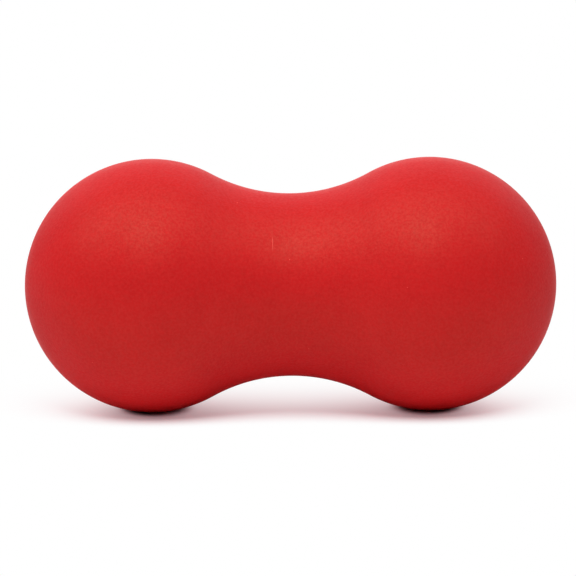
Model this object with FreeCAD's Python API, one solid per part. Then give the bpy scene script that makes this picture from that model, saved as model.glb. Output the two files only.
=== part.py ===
import FreeCAD, Part
import math
import os

# A peanut massage ball: two balls joined by a waist, moulded in one piece of solid rubber. It lies
# on both balls and rolls about its long axis. The waist is a groove all round it, so that the balls
# press on the muscles at either side of the spine and the spine itself is left free.
#
# Frame, in millimetres: the origin is the centre of the waist, X is the long axis through both ball
# centres, and Z is up.

# Driving dimensions
ball_diameter = 63.0
centre_spacing = 69.2
waist_diameter = 45.4

# Worked out from them
ball_radius = ball_diameter / 2
waist_radius = waist_diameter / 2
ball_centre = centre_spacing / 2


def waist_arc_radius():
    """The radius of the one arc that is tangent to both balls and touches the waist diameter.

    Its centre stands above the middle of the waist, and lies its own radius plus a ball radius from
    each ball centre: ball_centre^2 + (waist_radius + r)^2 = (ball_radius + r)^2.
    """
    square_gap = ball_centre**2 + waist_radius**2 - ball_radius**2
    return square_gap / (2 * (ball_radius - waist_radius))


def point(x, z):
    """A point of the outline, in the plane that holds the long axis and the vertical."""
    return FreeCAD.Vector(x, 0, z)


def outline():
    """The closed half outline: ball, waist and ball as tangent arcs, then back along the axis."""
    waist_arc = waist_arc_radius()
    arc_centre_height = waist_radius + waist_arc

    # The line from a ball centre to the waist arc's centre passes through their tangent point.
    lean = math.atan2(arc_centre_height, ball_centre)
    tangent_x = ball_centre - ball_radius * math.cos(lean)
    tangent_z = ball_radius * math.sin(lean)

    # A ball's arc runs from its tangent point to the tip, and this is the point half way along it.
    half_way = (math.pi - lean) / 2
    crest_x = ball_centre + ball_radius * math.cos(half_way)
    crest_z = ball_radius * math.sin(half_way)

    tip = ball_centre + ball_radius
    left_ball = Part.Arc(point(-tip, 0), point(-crest_x, crest_z), point(-tangent_x, tangent_z))
    waist = Part.Arc(point(-tangent_x, tangent_z), point(0, waist_radius), point(tangent_x, tangent_z))
    right_ball = Part.Arc(point(tangent_x, tangent_z), point(crest_x, crest_z), point(tip, 0))
    axis = Part.LineSegment(point(tip, 0), point(-tip, 0))
    return Part.Wire([piece.toShape() for piece in (left_ball, waist, right_ball, axis)])


def peanut_ball():
    """The whole moulding: the half outline turned once about the long axis."""
    half_section = Part.Face(outline())
    return half_section.revolve(FreeCAD.Vector(0, 0, 0), FreeCAD.Vector(1, 0, 0), 360)


def main():
    os.makedirs("parts", exist_ok=True)
    body = peanut_ball()
    body.exportStep("parts/peanut_ball.step")

    box = body.optimalBoundingBox(False)
    print(f"valid {body.isValid()}, solids {len(body.Solids)}, faces {len(body.Faces)}")
    print(f"size {box.XLength:.2f} x {box.YLength:.2f} x {box.ZLength:.2f} mm")
    print(f"volume {body.Volume / 1000:.1f} cm3, waist arc radius {waist_arc_radius():.2f} mm")


main()
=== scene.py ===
import math

import bmesh
import bpy
from bpy.props import FloatProperty, FloatVectorProperty, PointerProperty
from bpy.types import Operator, Panel, PropertyGroup
from mathutils import Matrix, Vector


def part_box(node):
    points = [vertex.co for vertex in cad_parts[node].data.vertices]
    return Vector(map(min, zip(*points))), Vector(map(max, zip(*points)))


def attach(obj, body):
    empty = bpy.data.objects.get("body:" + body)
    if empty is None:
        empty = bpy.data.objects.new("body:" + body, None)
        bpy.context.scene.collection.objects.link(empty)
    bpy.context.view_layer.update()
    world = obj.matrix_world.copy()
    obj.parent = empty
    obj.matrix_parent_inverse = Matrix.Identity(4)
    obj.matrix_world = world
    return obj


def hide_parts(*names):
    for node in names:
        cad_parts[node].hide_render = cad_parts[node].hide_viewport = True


bl_info = {
    "name": "Peanut Massage Ball",
    "version": (1, 0, 0),
    "blender": (4, 5, 0),
    "location": "3D View > Sidebar > Massage Ball",
    "description": "A peanut massage ball of matte red rubber, lying on a white studio floor",
    "category": "Mesh",
}

MM = 0.001
NODE = "peanut_ball"
BODY = "root"

WHITE = (1.0, 1.0, 1.0)

# The width of the floor, in metres.
FLOOR_SIZE = 12.0

# The least distance that counts where a plane cuts the mesh, in metres.
CUT_PRECISION = 1e-9

# The width of the camera's sensor. Blender gives it in millimetres, as it does the lens.
SENSOR_WIDTH = 36.0

# The nearest and the farthest that the camera sees, in metres.
VIEW_RANGE = (0.01, 100.0)

# How far apart the nodes stand in the node editor.
COLUMN_WIDTH = 200

# The part of each noise's range that is stretched from 0 to 1, because noise seldom leaves the middle.
CLOUD_RANGE = (0.35, 0.65)
MOTTLE_RANGE = (0.30, 0.70)
GRAIN_RANGE = (0.38, 0.62)

# How far the surface turns from the eye where its gloss begins to fade, and where it is at its least.
# Seen face on it is 0, and seen edge on it is 1.
FADE_RANGE = (0.15, 0.75)

# The share of a mark's half width and half height that is pale all over. The rest is its soft rim.
MARK_CORE = 0.4

# In how many directions the floor looks for the body, for each sample of a pixel. With few of them,
# the dark line where the body touches the floor comes out pale.
SHADOW_SAMPLES = 96

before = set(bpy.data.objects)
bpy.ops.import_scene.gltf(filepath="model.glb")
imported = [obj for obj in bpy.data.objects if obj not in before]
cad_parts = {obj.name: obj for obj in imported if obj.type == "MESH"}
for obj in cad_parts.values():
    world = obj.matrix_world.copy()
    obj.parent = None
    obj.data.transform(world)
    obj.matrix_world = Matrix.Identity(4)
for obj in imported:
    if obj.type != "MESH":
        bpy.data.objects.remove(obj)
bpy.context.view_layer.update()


def waist_of_frame(spacing):
    """The waist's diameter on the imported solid: its slimmest place between the two ball centres."""
    points = [v.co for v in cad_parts[NODE].data.vertices]
    return 2 * min(math.hypot(p.y, p.z) for p in points if abs(p.x) < spacing / 4)


low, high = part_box(NODE)
FRAME_BALL = high.z - low.z
FRAME_SPACING = high.x - low.x - FRAME_BALL
FRAME_WAIST = waist_of_frame(FRAME_SPACING)


def size(name, description, default):
    """A length that the user can change."""
    return FloatProperty(name=name, description=description, default=default, min=0.0, unit="LENGTH",
                         precision=5)


def angle(name, description, degrees):
    """An angle that the user can change."""
    return FloatProperty(name=name, description=description, default=math.radians(degrees),
                         subtype="ANGLE")


def share(name, description, default):
    """A number from 0 to 1 that the user can change."""
    return FloatProperty(name=name, description=description, default=default, min=0.0, max=1.0,
                         subtype="FACTOR")


def amount(name, description, default):
    """A number from 0 up that the user can change."""
    return FloatProperty(name=name, description=description, default=default, min=0.0)


def colour(name, description, default):
    """A colour that the user can change, in linear values."""
    return FloatVectorProperty(name=name, description=description, default=default, subtype="COLOR",
                               size=3, min=0.0, max=1.0)


class BodySettings(PropertyGroup):
    """Sizes of the rubber body."""

    ball_diameter: size("Ball Diameter", "Diameter of both balls", FRAME_BALL)
    centre_spacing: size("Centre Spacing", "Distance between the ball centres", FRAME_SPACING)
    waist_diameter: size("Waist Diameter", "Diameter at the middle of the waist", FRAME_WAIST)
    mesh_step: size("Mesh Step", "Length of a mesh face's side", 0.8 * MM)
    parting_tilt: angle("Parting Tilt", "How far the mould's parting plane leans back", 12.0)
    parting_width: size("Parting Width", "Width of the fine line that the mould left", 0.5 * MM)
    parting_height: size("Parting Height", "Height of that line", 0.06 * MM)


class RubberSettings(PropertyGroup):
    """Colours and texture of the rubber."""

    red: colour("Red", "Main colour of the rubber", (0.600, 0.0134, 0.0158))
    deep_red: colour("Deep Red", "Colour of the rubber where it is darkest", (0.528, 0.0117, 0.0138))
    mark: colour("Mark", "Colour of the few pale marks", (0.69, 0.064, 0.052))
    roughness: share("Roughness", "Roughness of the blasted surface", 0.45)
    gloss: share("Gloss", "Specular level seen face on", 0.135)
    gloss_change: share("Gloss Change", "How much the gloss changes from grain to grain", 0.33)
    edge_gloss: share("Edge Gloss", "Share of the gloss that is left at a low angle", 0.15)
    gloss_tint: colour("Gloss Tint", "Colour of the highlights", (1.0, 1.0, 0.60))
    grain_size: size("Grain Size", "Size of one grain of the blasted surface", 0.6 * MM)
    grain_depth: size("Grain Depth", "Depth of the grain", 0.03 * MM)
    mottle_size: size("Mottle Size", "Size of the fine mottling in the colour", 0.9 * MM)
    cloud_size: size("Cloud Size", "Size of the faint clouds in the colour", 14 * MM)
    cloud_share: share("Cloud Share", "Share that the clouds have in the colour's change", 0.3)


class StageSettings(PropertyGroup):
    """Floor, light and camera."""

    floor: colour("Floor", "Colour of the floor", (0.95, 0.95, 0.95))
    shadow_reach: size("Shadow Reach", "How far the floor looks for the body", 250 * MM)
    shadow_back: size("Shadow Back", "How far back the shadow is looked for", 75 * MM)
    shadow_front: size("Shadow Front", "How far in front the shadow is looked for", 25 * MM)
    shadow_side: size("Shadow Side", "How far to each side the shadow is looked for", 110 * MM)
    back_tilt: angle("Back Tilt", "How high the floor looks to the back", 30.0)
    back_dark: share("Back Dark", "Open share to the back where the shadow is darkest", 0.127)
    back_fall: amount("Back Fall", "How fast the shadow pales to the back", 1.54)
    front_dark: share("Front Dark", "Open share to the front where the shadow's rim begins", 0.838)
    front_lit: share("Front Lit", "Open share to the front where the floor is white", 0.962)
    shadow_depth: share("Shadow Depth", "Share of the light that the shadow takes", 0.905)
    core_open: share("Core Open", "Open share over which the shadow's dark core ends", 0.098)
    shadow_tint: colour("Shadow Tint", "Colour that the body lends to the shadow", (0.958, 0.425, 0.488))
    sky: amount("Sky", "Even light from all round", 0.016)
    key: amount("Key Light", "Soft light from high in front", 0.42)
    top: amount("Top Light", "Wide soft light from above", 0.336)
    left: amount("Left Light", "Soft light from high on the left", 0.453)
    right: amount("Right Light", "Soft light from high on the right", 0.26)
    back: amount("Back Light", "Wide soft light from behind", 0.42)
    light_distance: size("Light Distance", "Distance from the lights to the body", 0.9)
    camera_elevation: angle("Camera Elevation", "Height of the camera above the floor", 12.0)
    camera_roll: angle("Camera Roll", "Turn of the camera about its own line of sight", -0.43)
    camera_distance: size("Camera Distance", "Distance from the camera to the body", 0.9)
    view_width: size("View Width", "Width of the picture at the body", 143.44 * MM)
    view_right: size("View Right", "How far right of the picture's middle the body lies", 0.64 * MM)
    view_up: size("View Up", "How far above the picture's middle the body lies", 0.87 * MM)


def spun(bm, verts, centre, axis, turn, length_of_arc, step):
    """Sweeps verts through an arc, in steps of about one mesh face, and returns the last of them."""
    steps = max(2, round(length_of_arc / step))
    made = bmesh.ops.spin(bm, geom=verts, cent=centre, axis=axis, dvec=(0, 0, 0), angle=turn,
                          space=Matrix.Identity(4), steps=steps, use_merge=False,
                          use_normal_flip=False, use_duplicate=False)
    return [g for g in made["geom_last"] if isinstance(g, bmesh.types.BMVert)]


def outline(bm, sizes):
    """The half outline above the long axis: ball, waist and ball as tangent arcs."""
    ball_radius = sizes.ball_diameter / 2
    waist_radius = sizes.waist_diameter / 2
    ball_centre = sizes.centre_spacing / 2

    # One arc joins both balls: its centre is its radius plus a ball radius from each ball centre.
    square_gap = ball_centre**2 + waist_radius**2 - ball_radius**2
    arc_radius = square_gap / (2 * (ball_radius - waist_radius))
    arc_height = waist_radius + arc_radius
    lean = math.atan2(arc_height, ball_centre)
    ball_turn = math.pi - lean
    waist_turn = math.pi - 2 * lean

    across = Vector((0, 1, 0))
    tip = bm.verts.new((-ball_centre - ball_radius, 0, 0))
    end = spun(bm, [tip], (-ball_centre, 0, 0), across, ball_turn, ball_turn * ball_radius,
               sizes.mesh_step)
    end = spun(bm, end, (0, 0, arc_height), across, -waist_turn, waist_turn * arc_radius,
               sizes.mesh_step)
    spun(bm, end, (ball_centre, 0, 0), across, ball_turn, ball_turn * ball_radius, sizes.mesh_step)


def parting_line(bm, sizes):
    """The hairline ridge where the halves of the mould met. It dies out towards both tips."""
    across = Matrix.Rotation(-sizes.parting_tilt, 3, "X") @ Vector((0, 1, 0))
    for side in (-1, 1):
        bmesh.ops.bisect_plane(bm, geom=bm.verts[:] + bm.edges[:] + bm.faces[:], dist=CUT_PRECISION,
                               plane_co=across * side * sizes.parting_width / 2, plane_no=across,
                               use_snap_center=False, clear_outer=False, clear_inner=False)
    on_plane = sizes.parting_width / 100
    crest = [v for v in bm.verts if abs(v.co.dot(across)) < on_plane]
    swell = 1 + 2 * sizes.parting_height / sizes.ball_diameter
    bmesh.ops.scale(bm, vec=(1, swell, swell), space=Matrix.Identity(4), verts=crest)


def body_mesh(sizes):
    """The whole moulding: the half outline turned once about the long axis, with its parting line."""
    bm = bmesh.new()
    outline(bm, sizes)
    bmesh.ops.rotate(bm, verts=bm.verts, cent=(0, 0, 0),
                     matrix=Matrix.Rotation(-sizes.parting_tilt, 3, "X"))

    # An even number of steps puts an edge loop on the parting plane at both sides.
    steps = 2 * round(math.pi * sizes.ball_diameter / 2 / sizes.mesh_step)
    same_place = sizes.mesh_step / 1000
    bmesh.ops.spin(bm, geom=bm.verts[:] + bm.edges[:], cent=(0, 0, 0), axis=(1, 0, 0),
                   dvec=(0, 0, 0), angle=2 * math.pi, space=Matrix.Identity(4), steps=steps,
                   use_merge=True, use_normal_flip=False, use_duplicate=False)
    bmesh.ops.remove_doubles(bm, verts=bm.verts, dist=same_place)
    parting_line(bm, sizes)
    bmesh.ops.recalc_face_normals(bm, faces=bm.faces)
    for face in bm.faces:
        face.smooth = True
    if any(len(edge.link_faces) != 2 for edge in bm.edges):
        raise RuntimeError("the body's mesh isn't closed")
    mesh = bpy.data.meshes.new("massage_ball")
    bm.to_mesh(mesh)
    bm.free()
    return mesh


class Nodes:
    """Adds nodes to a material or to the world, and links them, left to right."""

    def __init__(self, tree):
        self.tree = tree
        self.column = 0
        tree.nodes.clear()

    def add(self, kind, settings=None, **inputs):
        """A node with its settings, whose inputs are values or other nodes' outputs.

        An input is given by its name, with _ for a space, or as i0, i1 and so on by its place.
        """
        node = self.tree.nodes.new(kind)
        node.location = (self.column * COLUMN_WIDTH, 0)
        self.column += 1
        for name, value in (settings or {}).items():
            setattr(node, name, value)
        for name, value in inputs.items():
            by_place = name[0] == "i" and name[1:].isdigit()
            socket = node.inputs[int(name[1:]) if by_place else name.replace("_", " ")]
            if isinstance(value, bpy.types.NodeSocket):
                self.tree.links.new(value, socket)
            elif socket.type == "RGBA":
                socket.default_value = (*value, 1)
            else:
                socket.default_value = value
        return node

    def math(self, operation, a, b=0.0):
        """The result of one operation on a, or on a and b."""
        return self.add("ShaderNodeMath", {"operation": operation}, i0=a, i1=b).outputs[0]

    def remap(self, value, start, end, first=0.0, last=1.0, smooth=False):
        """first up to start and last from end on, with a straight or a smooth way between."""
        kind = "SMOOTHSTEP" if smooth else "LINEAR"
        return self.add("ShaderNodeMapRange", {"interpolation_type": kind}, Value=value, From_Min=start,
                        From_Max=end, To_Min=first, To_Max=last).outputs[0]

    def noise(self, place, blotch_size, detail, roughness):
        """Soft noise from 0 to 1, in blotches of about that size."""
        return self.add("ShaderNodeTexNoise", Vector=place, Scale=1 / blotch_size, Detail=detail,
                        Roughness=roughness).outputs["Fac"]

    def colour_mix(self, factor, a, b):
        """Colour a at factor 0 and colour b at factor 1."""
        return self.add("ShaderNodeMix", {"data_type": "RGBA"}, i0=factor, i6=a, i7=b).outputs[2]

    def shader_mix(self, factor, a, b):
        """Shader a at factor 0 and shader b at factor 1."""
        return self.add("ShaderNodeMixShader", i0=factor, i1=a, i2=b).outputs[0]

    def matte(self, tone):
        """A shader of a plain matte colour."""
        return self.add("ShaderNodeBsdfDiffuse", Color=tone).outputs[0]

    def glow(self, tone):
        """A shader that is seen in just this colour, whatever the light."""
        return self.add("ShaderNodeEmission", Color=tone, Strength=1.0).outputs[0]


# The few pale marks on the front, in millimetres: where each one's middle lies along X and Z, and
# half its width and half its height. The first is a short upright scuff, the others are specks.
MARKS = (
    (-4.3, 14.1, 0.12, 1.75),
    (28.1, 5.5, 0.16, 0.16),
    (-0.2, 10.5, 0.18, 0.16),
    (4.3, -11.9, 0.15, 0.14),
    (-12.9, 22.7, 0.16, 0.12),
    (-48.3, -13.7, 0.15, 0.13),
    (56.4, 10.3, 0.16, 0.14),
)


def mark_profile(nodes, place, middle, half_size):
    """1 near the middle of a mark and 0 outside it, along one axis, with a soft rim between."""
    off = nodes.remap(place, (middle - half_size) * MM, (middle + half_size) * MM, -1.0, 1.0)
    return nodes.remap(nodes.math("ABSOLUTE", off), MARK_CORE, 1.0, 1.0, 0.0, smooth=True)


def pale_marks(nodes, place):
    """1 on the pale marks of the front and 0 elsewhere."""
    parts = nodes.add("ShaderNodeSeparateXYZ", Vector=place).outputs
    marks = 0.0
    for x, z, half_width, half_height in MARKS:
        across = mark_profile(nodes, parts[0], x, half_width)
        along = mark_profile(nodes, parts[2], z, half_height)
        marks = nodes.math("MAXIMUM", marks, nodes.math("MULTIPLY", across, along))
    return nodes.math("MULTIPLY", marks, nodes.math("LESS_THAN", parts[1], 0.0))


def rubber_red(nodes, look, place):
    """The red of the rubber, with faint clouds, fine mottling and the few pale marks."""
    wide_noise = nodes.noise(place, look.cloud_size, detail=3.0, roughness=0.55)
    fine_noise = nodes.noise(place, look.mottle_size, detail=2.0, roughness=0.7)
    clouds = nodes.remap(wide_noise, *CLOUD_RANGE, smooth=True)
    mottling = nodes.remap(fine_noise, *MOTTLE_RANGE)
    tone = nodes.math("ADD", nodes.math("MULTIPLY", clouds, look.cloud_share),
                      nodes.math("MULTIPLY", mottling, 1 - look.cloud_share))
    red = nodes.colour_mix(tone, look.deep_red, look.red)
    return nodes.colour_mix(pale_marks(nodes, place), red, look.mark)


def rubber_gloss(nodes, look, place):
    """The specular level. Each grain shines a little more or less than the next.

    The dull bloom on the rubber hides the gloss where the surface is seen at a low angle.
    """
    facing = nodes.add("ShaderNodeLayerWeight", Blend=0.5).outputs["Facing"]
    face_on = nodes.remap(facing, *FADE_RANGE, 1.0, look.edge_gloss, smooth=True)
    grain = nodes.noise(place, look.grain_size, detail=1.0, roughness=0.6)
    dull = look.gloss * (1 - look.gloss_change)
    bright = look.gloss * (1 + look.gloss_change)
    return nodes.math("MULTIPLY", nodes.remap(grain, *GRAIN_RANGE, dull, bright), face_on)


def rubber_material(look):
    """Matte rubber from a blasted mould: mottled red, with a fine grain in its gloss and relief."""
    material = bpy.data.materials.new("matte_red_rubber")
    material.use_nodes = True
    nodes = Nodes(material.node_tree)
    place = nodes.add("ShaderNodeTexCoord").outputs["Object"]
    pits = nodes.add("ShaderNodeTexVoronoi", Vector=place, Scale=1 / look.grain_size)
    relief = nodes.add("ShaderNodeBump", Height=pits.outputs["Distance"], Distance=look.grain_depth,
                       Strength=1.0)
    shader = nodes.add("ShaderNodeBsdfPrincipled", Base_Color=rubber_red(nodes, look, place),
                       Roughness=look.roughness, Specular_IOR_Level=rubber_gloss(nodes, look, place),
                       Specular_Tint=look.gloss_tint, Normal=relief.outputs[0])
    nodes.add("ShaderNodeOutputMaterial", Surface=shader.outputs[0])
    return material


class MASSAGEBALL_OT_mould_body(Operator):
    """Mould the rubber body, two balls joined by a waist"""

    bl_idname = "massage_ball.mould_body"
    bl_label = "Mould Body"
    bl_options = {"REGISTER", "UNDO"}

    def execute(self, context):
        scene = context.scene
        mesh = body_mesh(scene.massage_body)
        mesh.materials.append(rubber_material(scene.massage_rubber))
        body = bpy.data.objects.new("massage_ball", mesh)
        scene.collection.objects.link(body)
        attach(body, BODY)
        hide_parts(NODE)
        return {"FINISHED"}


def direction(elevation, azimuth):
    """The unit vector from the body towards something seen at that height and that far to the left."""
    return Vector((-math.sin(azimuth) * math.cos(elevation),
                   -math.cos(azimuth) * math.cos(elevation), math.sin(elevation)))


# Each light's name, its setting, its height and how far left it stands, both in degrees, and the
# width and height of its face in metres.
LIGHTS = (
    ("key_light", "key", 57, 7, 0.35, 0.35),
    ("top_light", "top", 88, 0, 0.70, 0.70),
    ("left_light", "left", 50, 78, 0.65, 0.65),
    ("right_light", "right", 50, -78, 0.60, 0.60),
    ("back_light", "back", 28, 180, 1.60, 0.70),
)


def soft_light(name, level, towards, distance, width, height):
    """A light with a wide face. A level of 1 shows a matte face turned to it in about its own colour."""
    lamp = bpy.data.lights.new(name, "AREA")
    lamp.shape = "RECTANGLE"
    lamp.size = width
    lamp.size_y = height
    lamp.energy = level * math.pi**2 * distance**2
    light = bpy.data.objects.new(name, lamp)
    light.location = towards * distance
    light.rotation_euler = towards.to_track_quat("Z", "Y").to_euler()
    light.visible_camera = False
    bpy.context.scene.collection.objects.link(light)


def seen_directly(nodes):
    """1 for what the camera sees, also in a mirror or through glass, and 0 for light that spreads."""
    rays = nodes.add("ShaderNodeLightPath").outputs
    mirrored = nodes.math("MAXIMUM", rays["Is Glossy Ray"], rays["Is Transmission Ray"])
    return nodes.math("MAXIMUM", rays["Is Camera Ray"], mirrored)


def open_share(nodes, stage, elevation, azimuth):
    """The share of the view that is open from the floor in about that direction."""
    x, y, z = direction(elevation, azimuth)
    side = nodes.add("ShaderNodeCombineXYZ", X=x, Y=y, Z=z).outputs[0]
    return nodes.add("ShaderNodeAmbientOcclusion", {"samples": SHADOW_SAMPLES},
                     Distance=stage.shadow_reach, Normal=side).outputs["AO"]


def light_on_floor(nodes, stage):
    """How light the floor is seen, from 0 where the body touches it to 1 out of the shadow.

    The light comes from behind and from high in front. The front light leaves the shadow's sharp
    front rim, the light from behind makes it paler towards the back, and neither gets in where the
    body touches the floor.
    """
    to_back = open_share(nodes, stage, stage.back_tilt, math.pi)
    to_front = open_share(nodes, stage, 0, 0)
    back_hidden = nodes.remap(to_back, stage.back_dark, 1.0, 1.0, 0.0)
    front_hidden = nodes.remap(to_front, stage.front_dark, stage.front_lit, 1.0, 0.0)
    hidden = nodes.math("MULTIPLY", nodes.math("POWER", back_hidden, stage.back_fall), front_hidden)
    hidden = nodes.math("MULTIPLY", hidden, stage.shadow_depth)
    gap = nodes.remap(nodes.math("ADD", to_back, to_front), 1.0, 1.0 + stage.core_open)
    return nodes.math("MULTIPLY", nodes.math("SUBTRACT", 1.0, hidden), gap)


def near_body(nodes, stage):
    """1 on the floor round the body, as far as its shadow is looked for, and 0 farther away."""
    place = nodes.add("ShaderNodeTexCoord").outputs["Object"]
    parts = nodes.add("ShaderNodeSeparateXYZ", Vector=place).outputs
    middle = (stage.shadow_back - stage.shadow_front) / 2
    half_depth = (stage.shadow_back + stage.shadow_front) / 2
    aside = nodes.math("ABSOLUTE", parts[0])
    ahead = nodes.math("ABSOLUTE", nodes.math("SUBTRACT", parts[1], middle))
    return nodes.math("MULTIPLY", nodes.math("LESS_THAN", aside, stage.shadow_side),
                      nodes.math("LESS_THAN", ahead, half_depth))


def floor_material(stage):
    """Matte white that is seen as pure white, but for the body's shadow.

    Only the floor round the body looks for its shadow, and only for the camera itself. In a mirror or
    through glass, that floor shows the shadow that the lights give it. Each way has a matte node of
    its own, because Cycles then skips the search for the body where another way is taken.
    """
    material = bpy.data.materials.new("white_floor")
    material.use_nodes = True
    nodes = Nodes(material.node_tree)
    lit = light_on_floor(nodes, stage)
    tinted = nodes.glow(nodes.colour_mix(lit, stage.shadow_tint, WHITE))
    shadowed = nodes.shader_mix(lit, nodes.matte(stage.floor), tinted)
    camera_ray = nodes.add("ShaderNodeLightPath").outputs["Is Camera Ray"]
    round_body = nodes.shader_mix(camera_ray, nodes.matte(stage.floor), shadowed)
    seen = nodes.shader_mix(near_body(nodes, stage), nodes.glow(WHITE), round_body)
    both = nodes.shader_mix(seen_directly(nodes), nodes.matte(stage.floor), seen)
    nodes.add("ShaderNodeOutputMaterial", Surface=both)
    return material


def white_floor(stage):
    """A wide floor at the height of the body's lowest points."""
    bm = bmesh.new()
    bmesh.ops.create_grid(bm, x_segments=1, y_segments=1, size=FLOOR_SIZE / 2)
    bmesh.ops.translate(bm, verts=bm.verts, vec=(0, 0, low.z))
    mesh = bpy.data.meshes.new("floor")
    bm.to_mesh(mesh)
    bm.free()
    mesh.materials.append(floor_material(stage))
    floor = bpy.data.objects.new("floor", mesh)
    bpy.context.scene.collection.objects.link(floor)


def white_sky(stage):
    """A little even light all round, which is seen as white."""
    world = bpy.data.worlds.new("white_sky")
    world.use_nodes = True
    nodes = Nodes(world.node_tree)
    level = nodes.remap(seen_directly(nodes), 0.0, 1.0, stage.sky, 1.0)
    sky = nodes.add("ShaderNodeBackground", Color=WHITE, Strength=level)
    nodes.add("ShaderNodeOutputWorld", Surface=sky.outputs[0])
    bpy.context.scene.world = world


def photo_camera(stage):
    """The camera at the front, a little above the body."""
    camera = bpy.data.cameras.new("camera")
    camera.sensor_width = SENSOR_WIDTH
    camera.lens = SENSOR_WIDTH * stage.camera_distance / stage.view_width
    camera.clip_start, camera.clip_end = VIEW_RANGE
    camera.shift_x = -stage.view_right / stage.view_width
    camera.shift_y = -stage.view_up / stage.view_width
    back = direction(stage.camera_elevation, 0)
    turn = back.to_track_quat("Z", "Y").to_matrix() @ Matrix.Rotation(stage.camera_roll, 3, "Z")
    view = bpy.data.objects.new("camera", camera)
    view.matrix_world = Matrix.Translation(back * stage.camera_distance) @ turn.to_4x4()
    bpy.context.scene.collection.objects.link(view)
    bpy.context.scene.camera = view


class MASSAGEBALL_OT_set_stage(Operator):
    """Set the floor, the light and the camera round the body"""

    bl_idname = "massage_ball.set_stage"
    bl_label = "Set Stage"
    bl_options = {"REGISTER", "UNDO"}

    def execute(self, context):
        stage = context.scene.massage_stage
        white_floor(stage)
        white_sky(stage)
        for name, setting, elevation, azimuth, width, height in LIGHTS:
            towards = direction(math.radians(elevation), math.radians(azimuth))
            soft_light(name, getattr(stage, setting), towards, stage.light_distance, width, height)
        photo_camera(stage)
        context.scene.view_settings.view_transform = "Standard"
        return {"FINISHED"}


# Each step with the settings that it uses, in the order in which the steps run.
STEPS = (
    (MASSAGEBALL_OT_mould_body, ("massage_body", "massage_rubber")),
    (MASSAGEBALL_OT_set_stage, ("massage_stage",)),
)


class MASSAGEBALL_PT_sidebar(Panel):
    """Lists the steps and their settings"""

    bl_label = "Massage Ball"
    bl_idname = "MASSAGEBALL_PT_sidebar"
    bl_space_type = "VIEW_3D"
    bl_region_type = "UI"
    bl_category = "Massage Ball"

    def draw(self, context):
        scene = context.scene
        for step, groups in STEPS:
            self.layout.operator(step.bl_idname)
            box = self.layout.box()
            for name in groups:
                settings = getattr(scene, name)
                for field in settings.__annotations__:
                    box.prop(settings, field)


CLASSES = (
    BodySettings,
    RubberSettings,
    StageSettings,
    MASSAGEBALL_OT_mould_body,
    MASSAGEBALL_OT_set_stage,
    MASSAGEBALL_PT_sidebar,
)


def register():
    for cls in CLASSES:
        bpy.utils.register_class(cls)
    bpy.types.Scene.massage_body = PointerProperty(type=BodySettings)
    bpy.types.Scene.massage_rubber = PointerProperty(type=RubberSettings)
    bpy.types.Scene.massage_stage = PointerProperty(type=StageSettings)


def unregister():
    del bpy.types.Scene.massage_stage
    del bpy.types.Scene.massage_rubber
    del bpy.types.Scene.massage_body
    for cls in reversed(CLASSES):
        bpy.utils.unregister_class(cls)


def main():
    register()
    bpy.ops.massage_ball.mould_body()
    bpy.ops.massage_ball.set_stage()


if __name__ == "__main__":
    main()
